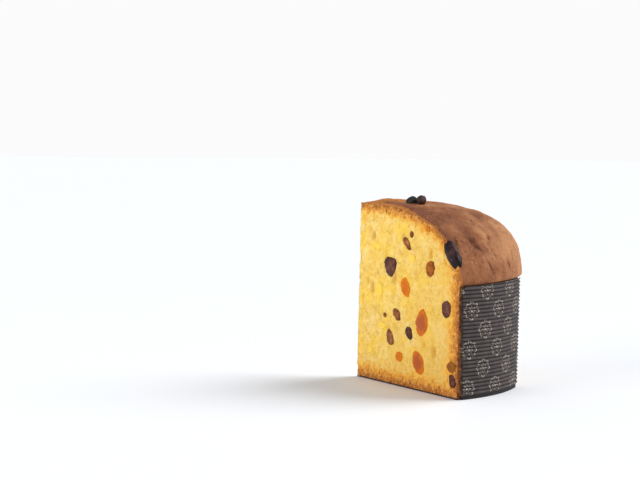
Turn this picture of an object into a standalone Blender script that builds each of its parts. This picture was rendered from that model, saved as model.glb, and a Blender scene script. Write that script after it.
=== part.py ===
# A wedge cut from a low panettone, still in its piece of corrugated paper case.
# The cake's axis is the sharp edge of the wedge. One cut faces -Y and runs along +X from that
# edge to the case, and the other cut is turned from it about the cake's axis. Every size below
# is a size of the real cake, and the finished slice is centred on its own footprint.

import math
import random

import bmesh
import bpy
from mathutils import Matrix, Vector, noise

MM = 0.001
GAP = 0.3 * MM

# The cake and the slice
SLICE_ANGLE = math.radians(40.0)
CASE_RADIUS = 105.0 * MM
# The case is a little taller at the back cut than at the front one
CASE_HEIGHTS = (68.0 * MM, 69.6 * MM)

# The paper case: a fluted wall round a flat base
WALL_THICKNESS = 2.0 * MM
BASE_THICKNESS = 0.6 * MM
FLUTE_COUNT = 28
FLUTE_DEPTH = 0.9 * MM
# A flute's side leaves its valley at one place and nears its crest at another, as shares
FLUTE_SIDE = 0.22
FLUTE_SHOULDER = 0.78
HEM_HEIGHT = 2.4 * MM
WALL_STEPS = 10
BASE_STEPS = 16
# How far the torn paper stops short of the cut, at its top and at its foot
FRONT_TEAR = (1.0 * MM, 3.2 * MM)
BACK_TEAR = (1.2 * MM, 1.8 * MM)

# The bread: a straight wall inside the case, and a crust that swells over the case's rim
BREAD_RADIUS = CASE_RADIUS - WALL_THICKNESS - GAP
BREAD_FLOOR = BASE_THICKNESS + GAP
LIP_RISE = 3.0 * MM
LIP_POINTS = 3
# The dome at each cut: height where it starts, rise above that, widest radius, and the two
# powers that say how flat its top is and how round its shoulder is
FRONT_DOME = (66.0 * MM, 46.8 * MM, 104.8 * MM, 3.05, 1.85)
BACK_DOME = (63.2 * MM, 52.8 * MM, 105.8 * MM, 4.40, 2.66)
# The two domes share their middle, up to this place down them
DOME_MIDDLE = 0.14
DOME_STEPS = 34
TURN_STEPS = 24
# The step along the dome between the points that give its slope
SLOPE_STEP = 0.002

# Relief of the crust: slow swells, smaller lumps, and the dents, bulges and splits that show
SWELL_SIZE = 26.0 * MM
SWELL_HEIGHT = 0.9 * MM
LUMP_SIZE = 9.0 * MM
LUMP_HEIGHT = 0.35 * MM
RELIEF_FADE = 7.0 * MM
# Each mark: degrees round from the front cut, place down the dome from 0 at its top to 1 at
# its widest, length, width, lean in degrees from straight down, and height, below 0 for a dent
CRUST_MARKS = (
    (14.1, 0.76, 6.0 * MM, 3.8 * MM, 30.0, -2.2 * MM),
    (23.0, 0.72, 8.0 * MM, 7.0 * MM, 0.0, 1.2 * MM),
    (8.0, 0.66, 9.0 * MM, 6.0 * MM, 20.0, 0.8 * MM),
    (14.3, 0.91, 6.0 * MM, 1.9 * MM, 31.0, -0.9 * MM),
    (25.9, 0.92, 5.0 * MM, 1.9 * MM, 31.0, -0.8 * MM),
    (33.0, 0.60, 12.0 * MM, 6.0 * MM, -25.0, -0.9 * MM),
    (26.0, 0.40, 14.0 * MM, 9.0 * MM, 10.0, 0.9 * MM),
)

# The fruit. Proud is how far a cut fruit stands out of the crumb.
PROUD = 0.5 * MM
# A cut fruit's middle lies this share of its depth inside the cut
SUNK = 0.15
FRUIT_RINGS = 6
FRUIT_SIDES = 10
SMALL_FRUIT = 6.0 * MM
# How lumpy a fruit is, how close its lumps are, and how far apart two fruits' lumps are drawn
FRUIT_LUMPS = 0.16
LUMP_CLOSENESS = 1.4
LUMP_DRAW = Vector((3.7, 1.9, 5.3))
# Peel narrows towards both its ends
PEEL_NARROWING = 0.22
FIRST_SEEDS = {"front": 1, "back": 60, "crust": 40}
# Fruit on the front cut: kind, distance from the cake's axis, height, length, width, degrees
# that its foot leans outwards, taper towards its foot, and how deep it is set in the crumb
FRONT_FRUIT = (
    ("raisin", 33.6, 74.4, 13.0, 12.8, -2.0, 0.30, 4.6),
    ("raisin", 74.3, 76.4, 10.2, 8.8, -16.0, 0.10, 4.0),
    ("raisin", 50.2, 90.2, 10.2, 5.0, 48.0, 0.10, 3.0),
    ("raisin", 54.6, 96.0, 5.0, 4.0, 5.0, 0.00, 2.0),
    ("raisin", 90.8, 53.3, 11.0, 9.4, -5.0, 0.15, 4.4),
    ("raisin", 41.3, 45.0, 9.6, 6.4, 50.0, 0.05, 3.4),
    ("raisin", 28.8, 43.2, 3.4, 3.4, 20.0, 0.00, 1.8),
    ("raisin", 54.6, 34.6, 9.4, 6.4, 34.0, 0.10, 3.4),
    ("raisin", 34.9, 29.8, 11.0, 7.6, 20.0, -0.15, 3.6),
    ("raisin", 98.4, 10.3, 9.0, 6.0, 20.0, 0.15, 3.0),
    ("peel", 49.9, 62.8, 13.4, 9.6, 23.0, -0.05, 4.0),
    ("peel", 67.0, 42.3, 17.6, 13.4, -7.0, 0.05, 5.0),
    ("peel", 44.8, 18.9, 6.8, 7.6, 23.0, 0.10, 2.6),
    ("peel", 64.5, 17.2, 16.2, 11.8, 26.0, 0.05, 4.6),
    ("peel", 97.0, 19.2, 7.2, 8.8, 0.0, 0.00, 3.0),
    ("peel", 70.2, 100.4, 3.6, 5.4, 0.0, 0.00, 1.8),
    ("citron", 19.4, 86.6, 4.6, 6.8, 0.0, 0.00, 2.0),
    ("citron", 55.8, 81.6, 5.0, 7.4, 0.0, 0.00, 2.2),
    ("citron", 22.6, 58.9, 8.8, 6.4, 5.0, 0.10, 2.6),
    ("citron", 26.0, 36.4, 5.0, 8.6, 0.0, 0.00, 2.2),
    ("citron", 14.2, 19.4, 4.4, 5.0, 0.0, 0.00, 1.6),
)
# The back cut isn't seen, so its fruit is spread by a rule in the same sizes and shares
BACK_KINDS = ("raisin", "peel", "raisin", "raisin", "citron", "peel", "raisin", "citron")
BACK_COUNT = 16
BACK_SEED = 23
BACK_CLEARANCE = 4.5
BACK_CRUST_CLEARANCE = 2.5
BACK_ALONG = (18.0, 94.0)
BACK_UP = (9.0, 101.0)
BACK_SIZES = {"raisin": (8.0, 12.5), "peel": (8.0, 15.0), "citron": (5.0, 8.0)}
BACK_WIDTHS = (0.68, 0.95)
BACK_DEPTH = 0.38
BACK_LEAN = 50.0
BACK_TAPER = 0.2
# Whole raisins in the crust: degrees round, distance from the axis, height, then length,
# width and depth, and the degrees that it turns about the vertical and leans from it
CRUST_RAISINS = {
    "raisin_top_left": (26.8, 36.6, 115.3, 5.9, 8.2, 6.2, 56.0, 14.0),
    "raisin_top_right": (25.3, 43.5, 116.0, 7.3, 6.3, 6.0, 56.0, -18.0),
    "raisin_rim": (1.0, 93.8, 86.2, 20.6, 9.4, 7.6, 0.0, 37.0),
}


def clear_scene():
    """Take every object out of the scene, so that the slice is alone in it."""
    for thing in list(bpy.data.objects):
        bpy.data.objects.remove(thing, do_unlink=True)


def material(name, colour, roughness, subsurface=0.0):
    """Make a plain shaded material."""
    made = bpy.data.materials.new(name)
    made.use_nodes = True
    shader = made.node_tree.nodes["Principled BSDF"]
    shader.inputs["Base Color"].default_value = (*colour, 1.0)
    shader.inputs["Roughness"].default_value = roughness
    shader.inputs["Metallic"].default_value = 0.0
    shader.inputs["Subsurface Weight"].default_value = subsurface
    return made


def add_object(name, bm, made_of, parent, sharp_degrees=40.0):
    """Turn a bmesh into a smooth shaded object under the cake's axis."""
    bmesh.ops.recalc_face_normals(bm, faces=bm.faces)
    mesh = bpy.data.meshes.new(name)
    bm.to_mesh(mesh)
    bm.free()
    mesh.materials.append(made_of)
    mesh.shade_smooth()
    mesh.set_sharp_from_angle(angle=math.radians(sharp_degrees))
    thing = bpy.data.objects.new(name, mesh)
    bpy.context.scene.collection.objects.link(thing)
    thing.parent = parent
    return thing


def turned(radius, angle, height):
    """The point at a radius, an angle round the cake and a height."""
    return Vector((radius * math.cos(angle), radius * math.sin(angle), height))


def blend(first, second, share):
    """Mix two numbers."""
    return first + (second - first) * share


def dome_outline(angle, place):
    """Radius and height of the smooth crust, from place 0 at the top to 1 at the widest."""
    ends = []
    for start, rise, radius, flat, round_off in (FRONT_DOME, BACK_DOME):
        lean = 0.5 * math.pi * place ** (flat / 2.0)
        across = max(math.sin(lean), 0.0) ** (2.0 / flat)
        up = max(math.cos(lean), 0.0) ** (2.0 / round_off)
        ends.append((radius * across, start + rise * up))
    share = angle / SLICE_ANGLE
    apart = min(place / DOME_MIDDLE, 1.0)
    rise_share = share * apart * apart * (3.0 - 2.0 * apart)
    (front_radius, front_height), (back_radius, back_height) = ends
    return blend(front_radius, back_radius, share), blend(front_height, back_height, rise_share)


def case_top(angle):
    """Height of the case's rim at an angle round the cake."""
    return blend(CASE_HEIGHTS[0], CASE_HEIGHTS[1], angle / SLICE_ANGLE)


def lip_place(angle):
    """The place down the dome where the crust turns in above the case's rim."""
    low, high = 0.5, 1.0
    for _ in range(30):
        middle = 0.5 * (low + high)
        if dome_outline(angle, middle)[1] > case_top(angle) + LIP_RISE:
            low = middle
        else:
            high = middle
    return low


def crust_frame(angle, place):
    """A point of the smooth crust, with its directions out, round and down."""
    radius, height = dome_outline(angle, place)
    before = dome_outline(angle, max(place - SLOPE_STEP, 0.0))
    after = dome_outline(angle, min(place + SLOPE_STEP, 1.0))
    down_flat = Vector((after[0] - before[0], 0.0, after[1] - before[1])).normalized()
    spin = Matrix.Rotation(angle, 3, "Z")
    down = spin @ down_flat
    around = spin @ Vector((0.0, 1.0, 0.0))
    return turned(radius, angle, height), down.cross(around), around, down


def mark_height(point, mark):
    """How far one dent, bulge or split moves the crust at a point."""
    degrees, place, length, width, lean, height = mark
    centre, _, around, down = crust_frame(math.radians(degrees), place)
    offset = point - centre
    tilt = math.radians(lean)
    along = offset.dot(down) * math.cos(tilt) + offset.dot(around) * math.sin(tilt)
    across = offset.dot(around) * math.cos(tilt) - offset.dot(down) * math.sin(tilt)
    return height * math.exp(-((along / length) ** 2) - (across / width) ** 2)


def crust_relief(point):
    """How far the real crust stands out of the smooth dome at a point."""
    relief = SWELL_HEIGHT * noise.noise(point / SWELL_SIZE)
    relief += LUMP_HEIGHT * noise.noise(point / LUMP_SIZE)
    relief += sum(mark_height(point, mark) for mark in CRUST_MARKS)
    fade = (point.z - CASE_HEIGHTS[1] - LIP_RISE) / RELIEF_FADE
    return relief * min(max(fade, 0.0), 1.0)


def bread_column(angle):
    """Points of the bread from beside the dome's top down to the foot of its wall."""
    points = []
    last = lip_place(angle)
    for step in range(1, DOME_STEPS + 1):
        point, out, _, _ = crust_frame(angle, last * step / DOME_STEPS)
        points.append(point + out * crust_relief(point))
    lip_radius = dome_outline(angle, last)[0]
    for step in range(1, LIP_POINTS + 1):
        turn = 0.5 * math.pi * step / LIP_POINTS
        radius = BREAD_RADIUS + (lip_radius - BREAD_RADIUS) * math.cos(turn)
        rise = GAP + (LIP_RISE - GAP) * (1.0 - math.sin(turn))
        points.append(turned(radius, angle, case_top(angle) + rise))
    points.append(turned(BREAD_RADIUS, angle, BREAD_FLOOR))
    return points


def bread_mesh():
    """The whole wedge of bread, before its fruit is set in."""
    bm = bmesh.new()
    top_point = turned(0.0, 0.0, dome_outline(0.0, 0.0)[1])
    top = bm.verts.new(top_point + Vector((0.0, 0.0, crust_relief(top_point))))
    foot = bm.verts.new((0.0, 0.0, BREAD_FLOOR))
    columns = []
    for step in range(TURN_STEPS + 1):
        column = bread_column(SLICE_ANGLE * step / TURN_STEPS)
        columns.append([bm.verts.new(point) for point in column])
    for left, right in zip(columns, columns[1:]):
        bm.faces.new((top, left[0], right[0]))
        for row in range(len(left) - 1):
            bm.faces.new((left[row], left[row + 1], right[row + 1], right[row]))
        bm.faces.new((foot, right[-1], left[-1]))
    bm.faces.new([top, foot] + columns[0][::-1])
    bm.faces.new([foot, top] + columns[-1])
    return bm


def wall_section():
    """The case wall's section as cells from the foot up: each has its inner and outer points.

    The liner inside is flat. The outside is a pressed hem, then one cell for each flute."""
    inner = CASE_RADIUS - WALL_THICKNESS
    valley = CASE_RADIUS - FLUTE_DEPTH
    shoulder = blend(valley, CASE_RADIUS, FLUTE_SHOULDER)
    pitch = (CASE_HEIGHTS[0] - HEM_HEIGHT) / FLUTE_COUNT
    cells = [[(inner, 0.0), (valley, 0.0)]]
    cells.append([(inner, HEM_HEIGHT), (valley, HEM_HEIGHT)])
    for flute in range(FLUTE_COUNT):
        foot = HEM_HEIGHT + pitch * flute
        cells[-1].append((shoulder, foot + FLUTE_SIDE * pitch))
        cells[-1].append((CASE_RADIUS, foot + 0.5 * pitch))
        cells[-1].append((shoulder, foot + (1.0 - FLUTE_SIDE) * pitch))
        cells.append([(inner, foot + pitch), (valley, foot + pitch)])
    return cells


def wall_point(radius, height, share):
    """A point of the case wall, a share of the way from its front edge to its back edge."""
    down = 1.0 - height / CASE_HEIGHTS[0]
    first = blend(FRONT_TEAR[0], FRONT_TEAR[1], down) / CASE_RADIUS
    last = SLICE_ANGLE - blend(BACK_TEAR[0], BACK_TEAR[1], down) / CASE_RADIUS
    angle = blend(first, last, share)
    return turned(radius, angle, height * case_top(angle) / CASE_HEIGHTS[0])


def case_wall_mesh():
    """Sweep the wall's section round the bread, and close both torn edges cell by cell."""
    bm = bmesh.new()
    columns = []
    for step in range(WALL_STEPS + 1):
        share = step / WALL_STEPS
        column = []
        for cell in wall_section():
            column.append([bm.verts.new(wall_point(r, z, share)) for r, z in cell])
        columns.append(column)
    for left, right in zip(columns, columns[1:]):
        bm.faces.new((left[0][0], left[0][1], right[0][1], right[0][0]))
        bm.faces.new((left[-1][1], left[-1][0], right[-1][0], right[-1][1]))
        for row in range(len(left) - 1):
            bm.faces.new((left[row + 1][0], left[row][0], right[row][0], right[row + 1][0]))
            near = left[row][1:] + [left[row + 1][1]]
            far = right[row][1:] + [right[row + 1][1]]
            for point in range(len(near) - 1):
                bm.faces.new((near[point], near[point + 1], far[point + 1], far[point]))
    for column in (columns[0], columns[-1]):
        for below, above in zip(column, column[1:]):
            bm.faces.new(below + [above[1], above[0]])
    return bm


def case_base_mesh():
    """The sector of flat paper under the bread."""
    radius = CASE_RADIUS - WALL_THICKNESS - GAP
    bm = bmesh.new()
    corners = [bm.verts.new((0.0, 0.0, 0.0))]
    for step in range(BASE_STEPS + 1):
        corners.append(bm.verts.new(turned(radius, SLICE_ANGLE * step / BASE_STEPS, 0.0)))
    sector = bm.faces.new(corners)
    lifted = bmesh.ops.extrude_face_region(bm, geom=[sector])
    raised = [item for item in lifted["geom"] if isinstance(item, bmesh.types.BMVert)]
    bmesh.ops.translate(bm, verts=raised, vec=(0.0, 0.0, BASE_THICKNESS))
    return bm


def fruit_mesh(kind, length, width, depth, taper, seed, grow=0.0):
    """A whole fruit about its own middle, with its length upright and its depth along Y."""
    bm = bmesh.new()
    sides = FRUIT_SIDES if length > SMALL_FRUIT else FRUIT_SIDES - 2
    rings = FRUIT_RINGS if length > SMALL_FRUIT else FRUIT_RINGS - 1
    bmesh.ops.create_uvsphere(bm, u_segments=sides, v_segments=rings, radius=1.0)
    for vert in bm.verts:
        point = vert.co.copy()
        swell = 1.0 + FRUIT_LUMPS * noise.noise(point * LUMP_CLOSENESS + seed * LUMP_DRAW)
        narrow = 1.0 + taper * point.z
        if kind == "peel":
            narrow *= 1.0 - PEEL_NARROWING * abs(point.z)
        vert.co.x = point.x * swell * narrow * (0.5 * width + grow)
        vert.co.y = point.y * swell * (depth + grow)
        vert.co.z = point.z * swell * (0.5 * length + grow)
    bmesh.ops.triangulate(bm, faces=bm.faces, quad_method="FIXED")
    return bm


def slice_fruit(bm, depth):
    """Cut a fruit flat a little outside the crumb, which lies at a depth in front of it."""
    everything = bm.verts[:] + bm.edges[:] + bm.faces[:]
    bmesh.ops.bisect_plane(
        bm,
        geom=everything,
        plane_co=(0.0, -depth, 0.0),
        plane_no=(0.0, -1.0, 0.0),
        clear_outer=True,
    )
    rim = [edge for edge in bm.edges if edge.is_boundary]
    bmesh.ops.edgeloop_fill(bm, edges=rim)


def set_fruit(name, kind, shape, seed, centre, rotation, sink, look, parent, pockets):
    """Add one fruit, and the pocket that it lies in, at a place in the bread."""
    length, width, depth, taper = shape
    bm = fruit_mesh(kind, length, width, depth, taper, seed)
    if sink is not None:
        slice_fruit(bm, sink + PROUD)
    fruit = add_object(name, bm, look, parent)
    pocket = add_object(
        "pocket_" + name, fruit_mesh(kind, length, width, depth, taper, seed, GAP), look, parent
    )
    for thing in (fruit, pocket):
        thing.location = centre
        thing.rotation_euler = rotation
    pocket.hide_render = True
    pocket.display_type = "WIRE"
    bpy.context.scene.collection.objects.unlink(pocket)
    pockets.objects.link(pocket)


def set_cut_fruit(rows, face, angle, looks, parent, pockets):
    """Set a list of fruit into one cut. The back cut is the front one turned half round."""
    counts = {}
    heading = angle if face == "front" else angle + math.pi
    lean_side = -1.0 if face == "front" else 1.0
    inwards = Matrix.Rotation(heading, 3, "Z") @ Vector((0.0, 1.0, 0.0))
    for seed, (kind, along, height, length, width, lean, taper, depth) in enumerate(rows):
        counts[kind] = counts.get(kind, 0) + 1
        sink = SUNK * depth * MM
        centre = turned(along * MM, angle, height * MM) + inwards * sink
        set_fruit(
            f"{kind}_{face}_{counts[kind]}",
            kind,
            (length * MM, width * MM, depth * MM, taper),
            seed + FIRST_SEEDS[face],
            centre,
            (0.0, lean_side * math.radians(lean), heading),
            sink,
            looks[kind],
            parent,
            pockets,
        )


def back_fruit():
    """Spread fruit over the back cut: drawn places are kept where they clear the others."""
    draw = random.Random(BACK_SEED)
    kept = []
    while len(kept) < BACK_COUNT:
        kind = BACK_KINDS[len(kept) % len(BACK_KINDS)]
        smallest, largest = BACK_SIZES[kind]
        length = draw.uniform(smallest, largest)
        width = length * draw.uniform(*BACK_WIDTHS)
        along = draw.uniform(*BACK_ALONG)
        height = draw.uniform(*BACK_UP)
        reach = 0.5 * length + BACK_CRUST_CLEARANCE
        radius, ceiling = dome_outline(SLICE_ANGLE, 0.0)
        for step in range(DOME_STEPS):
            radius, ceiling = dome_outline(SLICE_ANGLE, step / DOME_STEPS)
            if radius / MM > along + reach:
                break
        clear = height + reach < ceiling / MM
        for _, other_along, other_height, other_length, _, _, _, _ in kept:
            away = math.hypot(along - other_along, height - other_height)
            clear = clear and away > 0.5 * (length + other_length) + BACK_CLEARANCE
        lean = draw.uniform(-BACK_LEAN, BACK_LEAN)
        taper = draw.uniform(-BACK_TAPER, BACK_TAPER)
        if clear:
            kept.append((kind, along, height, length, width, lean, taper, BACK_DEPTH * width))
    return kept


def set_crust_raisins(look, parent, pockets):
    """Bake the whole raisins half into the crust."""
    for seed, (name, row) in enumerate(CRUST_RAISINS.items()):
        degrees, along, height, length, width, depth, turn, lean = row
        set_fruit(
            name,
            "raisin",
            (length * MM, width * MM, 0.5 * depth * MM, 0.0),
            seed + FIRST_SEEDS["crust"],
            turned(along * MM, math.radians(degrees), height * MM),
            (0.0, -math.radians(lean), math.radians(turn)),
            None,
            look,
            parent,
            pockets,
        )


def press_pockets(bread, pockets):
    """Press every pocket into the bread with one Boolean."""
    cut = bread.modifiers.new("fruit pockets", "BOOLEAN")
    cut.operation = "DIFFERENCE"
    cut.operand_type = "COLLECTION"
    cut.collection = pockets
    cut.solver = "EXACT"


def centre_footprint(axis, things):
    """Move the cake's axis so that the slice stands centred on the origin."""
    bpy.context.view_layer.update()
    corners = [thing.matrix_world @ vert.co for thing in things for vert in thing.data.vertices]
    for side in (0, 1):
        low = min(corner[side] for corner in corners)
        high = max(corner[side] for corner in corners)
        axis.location[side] = -0.5 * (low + high)


def build():
    """Make the slice: bread, paper case and fruit."""
    clear_scene()
    looks = {
        "bread": material("bread", (0.85, 0.58, 0.20), 0.80, 0.10),
        "paper": material("paper", (0.055, 0.042, 0.042), 0.60),
        "raisin": material("raisin", (0.06, 0.02, 0.02), 0.35),
        "peel": material("peel", (0.75, 0.24, 0.03), 0.30, 0.20),
        "citron": material("citron", (0.90, 0.60, 0.05), 0.35, 0.20),
    }
    axis = bpy.data.objects.new("cake_axis", None)
    bpy.context.scene.collection.objects.link(axis)
    pockets = bpy.data.collections.new("pockets")
    bpy.context.scene.collection.children.link(pockets)
    bread = add_object("bread", bread_mesh(), looks["bread"], axis)
    add_object("case_wall", case_wall_mesh(), looks["paper"], axis, 70.0)
    add_object("case_base", case_base_mesh(), looks["paper"], axis)
    set_cut_fruit(FRONT_FRUIT, "front", 0.0, looks, axis, pockets)
    set_cut_fruit(back_fruit(), "back", SLICE_ANGLE, looks, axis, pockets)
    set_crust_raisins(looks["raisin"], axis, pockets)
    press_pockets(bread, pockets)
    hidden = set(pockets.objects)
    shown = [thing for thing in bpy.data.objects if thing.data and thing not in hidden]
    centre_footprint(axis, shown)


build()
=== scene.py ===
# A wedge cut from a low panettone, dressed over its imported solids.
# Lengths are metres in the row's frame, and MM turns the baker's millimetres into them.

import math

import bmesh
import bpy
import numpy as np
from mathutils import Matrix, Vector, noise


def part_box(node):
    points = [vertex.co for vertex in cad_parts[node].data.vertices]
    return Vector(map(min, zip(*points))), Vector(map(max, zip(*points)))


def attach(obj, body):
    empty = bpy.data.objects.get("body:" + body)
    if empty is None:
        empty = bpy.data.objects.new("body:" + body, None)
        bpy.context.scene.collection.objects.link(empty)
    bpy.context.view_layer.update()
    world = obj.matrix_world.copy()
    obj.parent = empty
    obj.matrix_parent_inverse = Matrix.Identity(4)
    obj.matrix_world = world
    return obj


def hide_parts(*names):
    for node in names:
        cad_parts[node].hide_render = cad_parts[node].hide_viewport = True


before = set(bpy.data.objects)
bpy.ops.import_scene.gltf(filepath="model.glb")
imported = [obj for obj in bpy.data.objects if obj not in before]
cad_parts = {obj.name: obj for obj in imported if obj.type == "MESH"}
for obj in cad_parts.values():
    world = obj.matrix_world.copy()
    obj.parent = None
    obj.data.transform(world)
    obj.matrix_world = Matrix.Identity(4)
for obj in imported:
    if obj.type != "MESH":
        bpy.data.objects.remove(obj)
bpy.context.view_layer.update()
MM = 0.001

# Camera
# The photograph looks down on the slice by four degrees, square to neither cut nor case. The
# camera's place, and its turn, tip and roll in radians, were worked out from the case's foot,
# its flutes and the edges of the cut.
CAKE_AXIS = Vector((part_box("case_base")[0].x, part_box("case_base")[0].y, 0.0))
CAMERA_PLACE = Vector((840.24 * MM, -600.16 * MM, 161.08 * MM))
CAMERA_TURN = 0.97575
CAMERA_TIP = 0.07048
CAMERA_ROLL = 0.02150
camera = bpy.data.objects.new("camera", bpy.data.cameras.new("camera"))
bpy.context.scene.collection.objects.link(camera)
camera.data.lens = 90.0
camera.data.sensor_width = 36.0
camera.data.clip_start = 0.05
camera.data.clip_end = 30.0
camera.matrix_world = (
    Matrix.Translation(CAKE_AXIS + CAMERA_PLACE)
    @ Matrix.Rotation(CAMERA_TURN, 4, "Z")
    @ Matrix.Rotation(0.5 * math.pi - CAMERA_TIP, 4, "X")
    @ Matrix.Rotation(CAMERA_ROLL, 4, "Z")
)
bpy.context.scene.camera = camera


# Bread
# A wedge of egg-yellow crumb with an open, fine grain, inside a thin brown baked crust. It rose
# and baked in its case, swelled over the case's rim, and was then cut out from the cake's middle.
SLICE_ANGLE = math.radians(40.0)
CASE_RADIUS = 105.0 * MM
CASE_HEIGHTS = (68.0 * MM, 69.6 * MM)
BREAD_RADIUS = 102.7 * MM
BREAD_FLOOR = 0.9 * MM
LIP_RISE = 3.0 * MM
LIP_START = 0.3 * MM
# Each dome: height where it starts, rise, widest radius, and how flat and how round it is
FRONT_DOME = (66.0 * MM, 46.8 * MM, 104.8 * MM, 3.05, 1.85)
BACK_DOME = (63.2 * MM, 52.8 * MM, 105.8 * MM, 4.40, 2.66)
DOME_MIDDLE = 0.14
# Crust marks: degrees round, place down the dome, length, width, lean, height and painted shade
# The painted shade darkens the hollows, the dimple, the creases and the splits
CRUST_MARKS = (
    # Swells and hollows
    (23.0, 0.72, 8.0 * MM, 7.0 * MM, 0.0, 0.8 * MM, 0.0),
    (8.0, 0.66, 9.0 * MM, 6.0 * MM, 20.0, 0.6 * MM, 0.0),
    (14.6, 0.642, 7.0 * MM, 5.0 * MM, -25.0, -0.9 * MM, 0.35),
    (33.0, 0.60, 12.0 * MM, 6.0 * MM, -25.0, -0.9 * MM, 0.15),
    (26.0, 0.40, 14.0 * MM, 9.0 * MM, 10.0, 0.9 * MM, 0.0),
    # A dimple with a crease under it, and the bulge beside them
    (12.1, 0.734, 2.6 * MM, 2.2 * MM, 22.0, -1.4 * MM, 0.55),
    (12.9, 0.781, 4.6 * MM, 1.5 * MM, 42.0, -1.2 * MM, 0.65),
    (18.7, 0.734, 4.4 * MM, 3.4 * MM, -22.0, 1.5 * MM, 0.0),
    (20.8, 0.760, 1.5 * MM, 1.1 * MM, -15.0, -0.8 * MM, 0.6),
    # The lifted edge beside the big raisin
    (4.6, 0.728, 4.6 * MM, 1.5 * MM, -6.0, 1.0 * MM, 0.0),
    # Short splits above the paper
    (15.1, 0.909, 5.8 * MM, 0.8 * MM, 19.0, -0.9 * MM, 0.9),
    (26.8, 0.921, 3.2 * MM, 0.8 * MM, 10.0, -0.8 * MM, 0.85),
    (19.5, 0.85, 4.0 * MM, 0.8 * MM, 12.0, -0.5 * MM, 0.4),
    (31.0, 0.90, 5.0 * MM, 0.8 * MM, -8.0, -0.5 * MM, 0.4),
)
# The crust's unevenness: how high its lumps stand and how far apart they are
CRUST_LUMPS = (
    (0.9 * MM, 26.0 * MM), (0.35 * MM, 9.0 * MM), (0.28 * MM, 4.2 * MM), (0.14 * MM, 2.1 * MM),
)
# The unevenness comes in over this height, from just above the case's rim
SMOOTH_HEM = 7.0 * MM
# The place down the dome from which its steps are closer
SHOULDER_PLACE = 0.7
ACROSS_STEPS = 132
DOME_STEPS = 44
LIP_STEPS = 6
WALL_STEPS = 90
ROUND_STEPS = 84
# How far toasting reaches into the crumb from dome, wall and foot, and how strong it is there
CRUST_BLEND = ((4.4 * MM, 0.95), (6.8 * MM, 0.88), (5.6 * MM, 0.94))


def turned(radius, angle, height):
    """The point at a radius, an angle round the cake and a height."""
    return Vector((radius * math.cos(angle), radius * math.sin(angle), height))


def dome_outline(angle, place):
    """Radius and height of the smooth crust, from place 0 at the top to 1 at the widest."""
    ends = []
    for start, rise, radius, flat, round_off in (FRONT_DOME, BACK_DOME):
        lean = 0.5 * math.pi * place ** (flat / 2.0)
        across = max(math.sin(lean), 0.0) ** (2.0 / flat)
        up = max(math.cos(lean), 0.0) ** (2.0 / round_off)
        ends.append((radius * across, start + rise * up))
    share = angle / SLICE_ANGLE
    apart = min(place / DOME_MIDDLE, 1.0)
    rise_share = share * apart * apart * (3.0 - 2.0 * apart)
    radius = ends[0][0] + (ends[1][0] - ends[0][0]) * share
    return radius, ends[0][1] + (ends[1][1] - ends[0][1]) * rise_share


def case_top(angle):
    """Height of the case's rim at an angle round the cake."""
    return CASE_HEIGHTS[0] + (CASE_HEIGHTS[1] - CASE_HEIGHTS[0]) * angle / SLICE_ANGLE


def lip_place(angle):
    """The place down the dome where the crust turns in above the case's rim."""
    low, high = 0.5, 1.0
    for _ in range(24):
        middle = 0.5 * (low + high)
        if dome_outline(angle, middle)[1] > case_top(angle) + LIP_RISE:
            low = middle
        else:
            high = middle
    return low


def crust_frame(angle, place):
    """A point of the smooth crust, with its directions out, round and down."""
    radius, height = dome_outline(angle, place)
    before = dome_outline(angle, max(place - 0.002, 0.0))
    after = dome_outline(angle, min(place + 0.002, 1.0))
    spin = Matrix.Rotation(angle, 3, "Z")
    down = spin @ Vector((after[0] - before[0], 0.0, after[1] - before[1])).normalized()
    around = spin @ Vector((0.0, 1.0, 0.0))
    return turned(radius, angle, height), down.cross(around), around, down


mark_frames = [crust_frame(math.radians(mark[0]), mark[1]) for mark in CRUST_MARKS]


def crust_relief(point):
    """How far the real crust stands out of the smooth dome at a point, and how much painted shade
    darkens it there.
    """
    relief = 0.0
    for height, apart in CRUST_LUMPS:
        relief += height * noise.noise(point / apart)
    dark = 0.0
    for mark, (centre, _, around, down) in zip(CRUST_MARKS, mark_frames):
        _, _, length, width, lean, height, painted_shade = mark
        offset = point - centre
        tilt = math.radians(lean)
        along = offset.dot(down) * math.cos(tilt) + offset.dot(around) * math.sin(tilt)
        across = offset.dot(around) * math.cos(tilt) - offset.dot(down) * math.sin(tilt)
        share = math.exp(-((along / length) ** 2) - (across / width) ** 2)
        relief += height * share
        # The marks' darkness is painted shade in their hollows, creases and splits
        dark = max(dark, painted_shade * share)
    fade = (point.z - CASE_HEIGHTS[1] - LIP_RISE) / SMOOTH_HEM
    return relief * min(max(fade, 0.0), 1.0), dark


def bread_column(angle):
    """Points of the bread from its top down to the foot of its wall, with relief and painted shade.
    """
    places = [SHOULDER_PLACE * step / ACROSS_STEPS for step in range(ACROSS_STEPS + 1)]
    last = lip_place(angle)
    for step in range(1, DOME_STEPS + 1):
        places.append(SHOULDER_PLACE + (last - SHOULDER_PLACE) * step / DOME_STEPS)
    points = []
    reliefs = []
    for place in places:
        point, out, _, _ = crust_frame(angle, place)
        if place == 0.0:
            out = Vector((0.0, 0.0, 1.0))
        relief, dark = crust_relief(point)
        points.append(point + out * relief)
        reliefs.append((relief / MM, dark))
    lip_radius = dome_outline(angle, last)[0]
    for step in range(1, LIP_STEPS + 1):
        turn = 0.5 * math.pi * step / LIP_STEPS
        radius = BREAD_RADIUS + (lip_radius - BREAD_RADIUS) * math.cos(turn)
        rise = LIP_START + (LIP_RISE - LIP_START) * (1.0 - math.sin(turn))
        points.append(turned(radius, angle, case_top(angle) + rise))
    top = points[-1].z
    for step in range(1, WALL_STEPS + 1):
        points.append(turned(BREAD_RADIUS, angle, top + (BREAD_FLOOR - top) * step / WALL_STEPS))
    return points, reliefs + [(0.0, 0.0)] * (len(points) - len(reliefs))


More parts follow.
